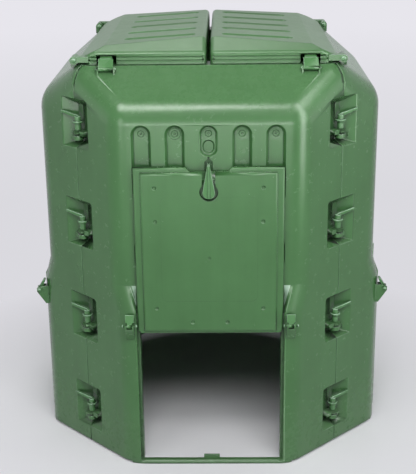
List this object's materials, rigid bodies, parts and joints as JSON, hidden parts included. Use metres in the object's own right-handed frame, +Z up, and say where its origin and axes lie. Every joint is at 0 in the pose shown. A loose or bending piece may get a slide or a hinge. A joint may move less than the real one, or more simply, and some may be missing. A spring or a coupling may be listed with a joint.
{
  "type": "compost bin",
  "caption": "Eight-sided moulded plastic compost bin of plugged-together double-skinned walls, with sliding removal doors at ground level and a lid of two hinged flaps.",
  "frame": {"origin": "on the ground, under the middle of the bin", "axes": "+Z up, -Y towards the wall whose door is raised, +X to the right as seen from there"},
  "size_m": [0.876, 0.876, 1.0025],
  "materials": {
    "wall_plastic": "satin green moulded plastic",
    "door_plastic": "satin green moulded plastic",
    "lid_plastic": "satin green moulded plastic",
    "fitting_plastic": "semi-gloss green plastic"
  },
  "bodies": {
    "bin": {"back_wall": "wall_plastic", "front_wall": "wall_plastic", "left_wall": "wall_plastic", "right_wall": "wall_plastic", "door_clip_pins": "fitting_plastic", "lid_hinge_pins": "fitting_plastic", "lid_catch_pins": "fitting_plastic"},
    "front_door": {"front_door": "door_plastic", "front_lever_pivot": "fitting_plastic"},
    "front_door_lever": {"front_door_lever": "fitting_plastic"},
    "door_clip_front_left": {"door_clip_front_left": "fitting_plastic"},
    "door_clip_front_right": {"door_clip_front_right": "fitting_plastic"},
    "right_door": {"right_door": "door_plastic", "right_lever_pivot": "fitting_plastic"},
    "right_door_lever": {"right_door_lever": "fitting_plastic"},
    "door_clip_right_left": {"door_clip_right_left": "fitting_plastic"},
    "door_clip_right_right": {"door_clip_right_right": "fitting_plastic"},
    "back_door": {"back_door": "door_plastic", "back_lever_pivot": "fitting_plastic"},
    "back_door_lever": {"back_door_lever": "fitting_plastic"},
    "door_clip_back_left": {"door_clip_back_left": "fitting_plastic"},
    "door_clip_back_right": {"door_clip_back_right": "fitting_plastic"},
    "left_door": {"left_door": "door_plastic", "left_lever_pivot": "fitting_plastic"},
    "left_door_lever": {"left_door_lever": "fitting_plastic"},
    "door_clip_left_left": {"door_clip_left_left": "fitting_plastic"},
    "door_clip_left_right": {"door_clip_left_right": "fitting_plastic"},
    "corner_pin_front_right_1": {"corner_pin_front_right_1": "fitting_plastic"},
    "corner_pin_front_right_2": {"corner_pin_front_right_2": "fitting_plastic"},
    "corner_pin_front_right_3": {"corner_pin_front_right_3": "fitting_plastic"},
    "corner_pin_front_right_4": {"corner_pin_front_right_4": "fitting_plastic"},
    "corner_pin_front_left_1": {"corner_pin_front_left_1": "fitting_plastic"},
    "corner_pin_front_left_2": {"corner_pin_front_left_2": "fitting_plastic"},
    "corner_pin_front_left_3": {"corner_pin_front_left_3": "fitting_plastic"},
    "corner_pin_front_left_4": {"corner_pin_front_left_4": "fitting_plastic"},
    "corner_pin_back_right_1": {"corner_pin_back_right_1": "fitting_plastic"},
    "corner_pin_back_right_2": {"corner_pin_back_right_2": "fitting_plastic"},
    "corner_pin_back_right_3": {"corner_pin_back_right_3": "fitting_plastic"},
    "corner_pin_back_right_4": {"corner_pin_back_right_4": "fitting_plastic"},
    "corner_pin_back_left_1": {"corner_pin_back_left_1": "fitting_plastic"},
    "corner_pin_back_left_2": {"corner_pin_back_left_2": "fitting_plastic"},
    "corner_pin_back_left_3": {"corner_pin_back_left_3": "fitting_plastic"},
    "corner_pin_back_left_4": {"corner_pin_back_left_4": "fitting_plastic"},
    "right_lid_flap": {"right_lid_flap": "lid_plastic"},
    "left_lid_flap": {"left_lid_flap": "lid_plastic"},
    "lid_catch_front_left": {"lid_catch_front_left": "fitting_plastic"},
    "lid_catch_front_right": {"lid_catch_front_right": "fitting_plastic"},
    "lid_catch_back_left": {"lid_catch_back_left": "fitting_plastic"},
    "lid_catch_back_right": {"lid_catch_back_right": "fitting_plastic"}
  },
  "joints": [
    {"name": "front_door_slide", "type": "slide", "parent": "bin", "child": "front_door", "axis": [0, 0, 1], "range_m": [-0.33, 0]},
    {"name": "front_door_lever_tilt", "type": "hinge", "parent": "front_door", "child": "front_door_lever", "pos_m": [0, -0.418, 0.716], "axis": [1, 0, 0], "range_deg": [0, 10], "stiffness_Nm_per_rad": 0.1},
    {"name": "door_clip_front_left_flip", "type": "hinge", "parent": "bin", "child": "door_clip_front_left", "pos_m": [-0.186, -0.431, 0.369], "axis": [1, 0, 0], "range_deg": [0, 90]},
    {"name": "door_clip_front_right_flip", "type": "hinge", "parent": "bin", "child": "door_clip_front_right", "pos_m": [0.186, -0.431, 0.369], "axis": [1, 0, 0], "range_deg": [0, 90]},
    {"name": "right_door_slide", "type": "slide", "parent": "bin", "child": "right_door", "axis": [0, 0, 1], "range_m": [0, 0.33]},
    {"name": "right_door_lever_tilt", "type": "hinge", "parent": "right_door", "child": "right_door_lever", "pos_m": [0.418, 0, 0.386], "axis": [0, 1, 0], "range_deg": [0, 10], "stiffness_Nm_per_rad": 0.1},
    {"name": "door_clip_right_left_flip", "type": "hinge", "parent": "bin", "child": "door_clip_right_left", "pos_m": [0.431, -0.186, 0.369], "axis": [0, 1, 0], "range_deg": [0, 90]},
    {"name": "door_clip_right_right_flip", "type": "hinge", "parent": "bin", "child": "door_clip_right_right", "pos_m": [0.431, 0.186, 0.369], "axis": [0, 1, 0], "range_deg": [0, 90]},
    {"name": "back_door_slide", "type": "slide", "parent": "bin", "child": "back_door", "axis": [0, 0, 1], "range_m": [0, 0.33]},
    {"name": "back_door_lever_tilt", "type": "hinge", "parent": "back_door", "child": "back_door_lever", "pos_m": [0, 0.418, 0.386], "axis": [-1, 0, 0], "range_deg": [0, 10], "stiffness_Nm_per_rad": 0.1},
    {"name": "door_clip_back_left_flip", "type": "hinge", "parent": "bin", "child": "door_clip_back_left", "pos_m": [0.186, 0.431, 0.369], "axis": [-1, 0, 0], "range_deg": [0, 90]},
    {"name": "door_clip_back_right_flip", "type": "hinge", "parent": "bin", "child": "door_clip_back_right", "pos_m": [-0.186, 0.431, 0.369], "axis": [-1, 0, 0], "range_deg": [0, 90]},
    {"name": "left_door_slide", "type": "slide", "parent": "bin", "child": "left_door", "axis": [0, 0, 1], "range_m": [0, 0.33]},
    {"name": "left_door_lever_tilt", "type": "hinge", "parent": "left_door", "child": "left_door_lever", "pos_m": [-0.418, 0, 0.386], "axis": [0, -1, 0], "range_deg": [0, 10], "stiffness_Nm_per_rad": 0.1},
    {"name": "door_clip_left_left_flip", "type": "hinge", "parent": "bin", "child": "door_clip_left_left", "pos_m": [-0.431, 0.186, 0.369], "axis": [0, -1, 0], "range_deg": [0, 90]},
    {"name": "door_clip_left_right_flip", "type": "hinge", "parent": "bin", "child": "door_clip_left_right", "pos_m": [-0.431, -0.186, 0.369], "axis": [0, -1, 0], "range_deg": [0, 90]},
    {"name": "corner_pin_front_right_1_turn", "type": "hinge", "parent": "bin", "child": "corner_pin_front_right_1", "pos_m": [0.30005, -0.29439, 0.101], "axis": [0, 0, -1], "range_deg": [0, 100]},
    {"name": "corner_pin_front_right_2_turn", "type": "hinge", "parent": "bin", "child": "corner_pin_front_right_2", "pos_m": [0.30005, -0.29439, 0.34], "axis": [0, 0, -1], "range_deg": [0, 100]},
    {"name": "corner_pin_front_right_3_turn", "type": "hinge", "parent": "bin", "child": "corner_pin_front_right_3", "pos_m": [0.30005, -0.29439, 0.579], "axis": [0, 0, -1], "range_deg": [0, 100]},
    {"name": "corner_pin_front_right_4_turn", "type": "hinge", "parent": "bin", "child": "corner_pin_front_right_4", "pos_m": [0.30005, -0.29439, 0.818], "axis": [0, 0, -1], "range_deg": [0, 100]},
    {"name": "corner_pin_front_left_1_turn", "type": "hinge", "parent": "bin", "child": "corner_pin_front_left_1", "pos_m": [-0.30005, -0.29439, 0.101], "axis": [0, 0, 1], "range_deg": [0, 100]},
    {"name": "corner_pin_front_left_2_turn", "type": "hinge", "parent": "bin", "child": "corner_pin_front_left_2", "pos_m": [-0.30005, -0.29439, 0.34], "axis": [0, 0, 1], "range_deg": [0, 100]},
    {"name": "corner_pin_front_left_3_turn", "type": "hinge", "parent": "bin", "child": "corner_pin_front_left_3", "pos_m": [-0.30005, -0.29439, 0.579], "axis": [0, 0, 1], "range_deg": [0, 100]},
    {"name": "corner_pin_front_left_4_turn", "type": "hinge", "parent": "bin", "child": "corner_pin_front_left_4", "pos_m": [-0.30005, -0.29439, 0.818], "axis": [0, 0, 1], "range_deg": [0, 100]},
    {"name": "corner_pin_back_right_1_turn", "type": "hinge", "parent": "bin", "child": "corner_pin_back_right_1", "pos_m": [0.30005, 0.29439, 0.101], "axis": [0, 0, 1], "range_deg": [0, 100]},
    {"name": "corner_pin_back_right_2_turn", "type": "hinge", "parent": "bin", "child": "corner_pin_back_right_2", "pos_m": [0.30005, 0.29439, 0.34], "axis": [0, 0, 1], "range_deg": [0, 100]},
    {"name": "corner_pin_back_right_3_turn", "type": "hinge", "parent": "bin", "child": "corner_pin_back_right_3", "pos_m": [0.30005, 0.29439, 0.579], "axis": [0, 0, 1], "range_deg": [0, 100]},
    {"name": "corner_pin_back_right_4_turn", "type": "hinge", "parent": "bin", "child": "corner_pin_back_right_4", "pos_m": [0.30005, 0.29439, 0.818], "axis": [0, 0, 1], "range_deg": [0, 100]},
    {"name": "corner_pin_back_left_1_turn", "type": "hinge", "parent": "bin", "child": "corner_pin_back_left_1", "pos_m": [-0.30005, 0.29439, 0.101], "axis": [0, 0, -1], "range_deg": [0, 100]},
    {"name": "corner_pin_back_left_2_turn", "type": "hinge", "parent": "bin", "child": "corner_pin_back_left_2", "pos_m": [-0.30005, 0.29439, 0.34], "axis": [0, 0, -1], "range_deg": [0, 100]},
    {"name": "corner_pin_back_left_3_turn", "type": "hinge", "parent": "bin", "child": "corner_pin_back_left_3", "pos_m": [-0.30005, 0.29439, 0.579], "axis": [0, 0, -1], "range_deg": [0, 100]},
    {"name": "corner_pin_back_left_4_turn", "type": "hinge", "parent": "bin", "child": "corner_pin_back_left_4", "pos_m": [-0.30005, 0.29439, 0.818], "axis": [0, 0, -1], "range_deg": [0, 100]},
    {"name": "right_lid_flap_hinge", "type": "hinge", "parent": "bin", "child": "right_lid_flap", "pos_m": [0.304, 0, 0.958], "axis": [0, 1, 0], "range_deg": [0, 180]},
    {"name": "left_lid_flap_hinge", "type": "hinge", "parent": "bin", "child": "left_lid_flap", "pos_m": [-0.304, 0, 0.958], "axis": [0, -1, 0], "range_deg": [0, 180]},
    {"name": "lid_catch_front_left_swing", "type": "hinge", "parent": "bin", "child": "lid_catch_front_left", "pos_m": [-0.229, -0.316, 0.943], "axis": [1, 0, 0], "range_deg": [0, 100]},
    {"name": "lid_catch_front_right_swing", "type": "hinge", "parent": "bin", "child": "lid_catch_front_right", "pos_m": [0.229, -0.316, 0.943], "axis": [1, 0, 0], "range_deg": [0, 100]},
    {"name": "lid_catch_back_left_swing", "type": "hinge", "parent": "bin", "child": "lid_catch_back_left", "pos_m": [0.229, 0.316, 0.943], "axis": [-1, 0, 0], "range_deg": [0, 100]},
    {"name": "lid_catch_back_right_swing", "type": "hinge", "parent": "bin", "child": "lid_catch_back_right", "pos_m": [-0.229, 0.316, 0.943], "axis": [-1, 0, 0], "range_deg": [0, 100]}
  ]
}
